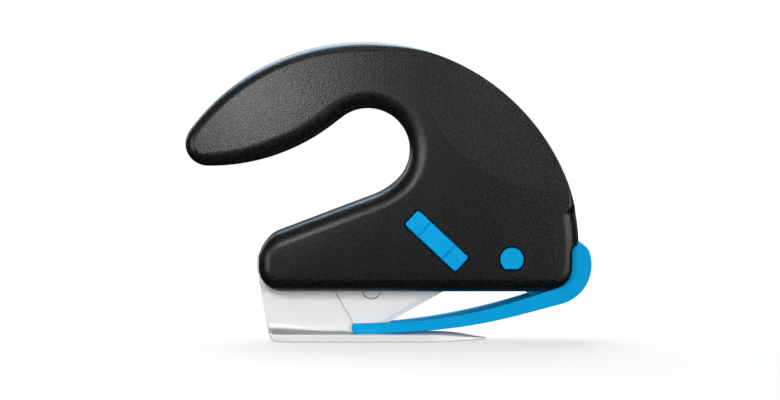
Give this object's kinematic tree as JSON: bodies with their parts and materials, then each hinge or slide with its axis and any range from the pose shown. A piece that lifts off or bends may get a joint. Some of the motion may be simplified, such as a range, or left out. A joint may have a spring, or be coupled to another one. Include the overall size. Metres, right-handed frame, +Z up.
{
  "type": "guarded hand cutter",
  "caption": "Hand-held slitting cutter: C-shaped two-shell handle on a sled foot, straight blade, sprung guard arm, blade release key and lock button.",
  "frame": {"origin": "on the surface the sled foot stands on, under the middle of the cutter's length, at the parting plane", "axes": "+X the cutting direction, +Y across the handle towards the side with the screw heads, +Z up"},
  "size_m": [0.1459, 0.024, 0.1083],
  "materials": {
    "black_plastic": "fine spark-eroded grain, satin matte",
    "blue_plastic": "smooth moulded, slightly satin",
    "satin_steel": "bead-blasted satin",
    "blade_steel": "finely ground, with a bright bevel",
    "spring_steel": "drawn wire",
    "plated_screw": "zinc plated"
  },
  "bodies": {
    "handle": {"left_shell": "black_plastic", "right_shell": "black_plastic", "shell_screw_1": "plated_screw", "shell_screw_2": "plated_screw", "shell_screw_3": "plated_screw", "shell_screw_4": "plated_screw", "shell_screw_5": "plated_screw", "shell_screw_6": "plated_screw", "foot_web": "satin_steel", "base_plate": "satin_steel", "web_pin_1": "plated_screw", "web_pin_2": "plated_screw", "web_pin_3": "plated_screw", "blade": "blade_steel", "arm_bush": "plated_screw", "key_spring_1": "spring_steel", "key_spring_2": "spring_steel", "button_spring": "spring_steel"},
    "arm": {"guard_arm": "blue_plastic", "arm_spring": "spring_steel"},
    "button": {"lock_button": "blue_plastic"},
    "release": {"release_key": "blue_plastic", "stud_plate": "plated_screw", "blade_stud": "blade_steel"}
  },
  "joints": [
    {"name": "arm_pivot", "type": "hinge", "parent": "handle", "child": "arm", "pos_m": [0.04407, 0, 0.03056], "axis": [0, 1, 0], "range_deg": [0, 8], "stiffness_Nm_per_rad": 0.08, "springref_deg": -20.05},
    {"name": "button_press", "type": "slide", "parent": "handle", "child": "button", "axis": [0, 1, 0], "range_m": [0, 0.0022], "stiffness_N_per_m": 300, "springref_m": -0.001, "deforming": ["button_spring"]},
    {"name": "key_press", "type": "slide", "parent": "handle", "child": "release", "axis": [0, 1, 0], "range_m": [0, 0.0022], "stiffness_N_per_m": 500, "springref_m": -0.001, "deforming": ["key_spring_1", "key_spring_2"]}
  ]
}
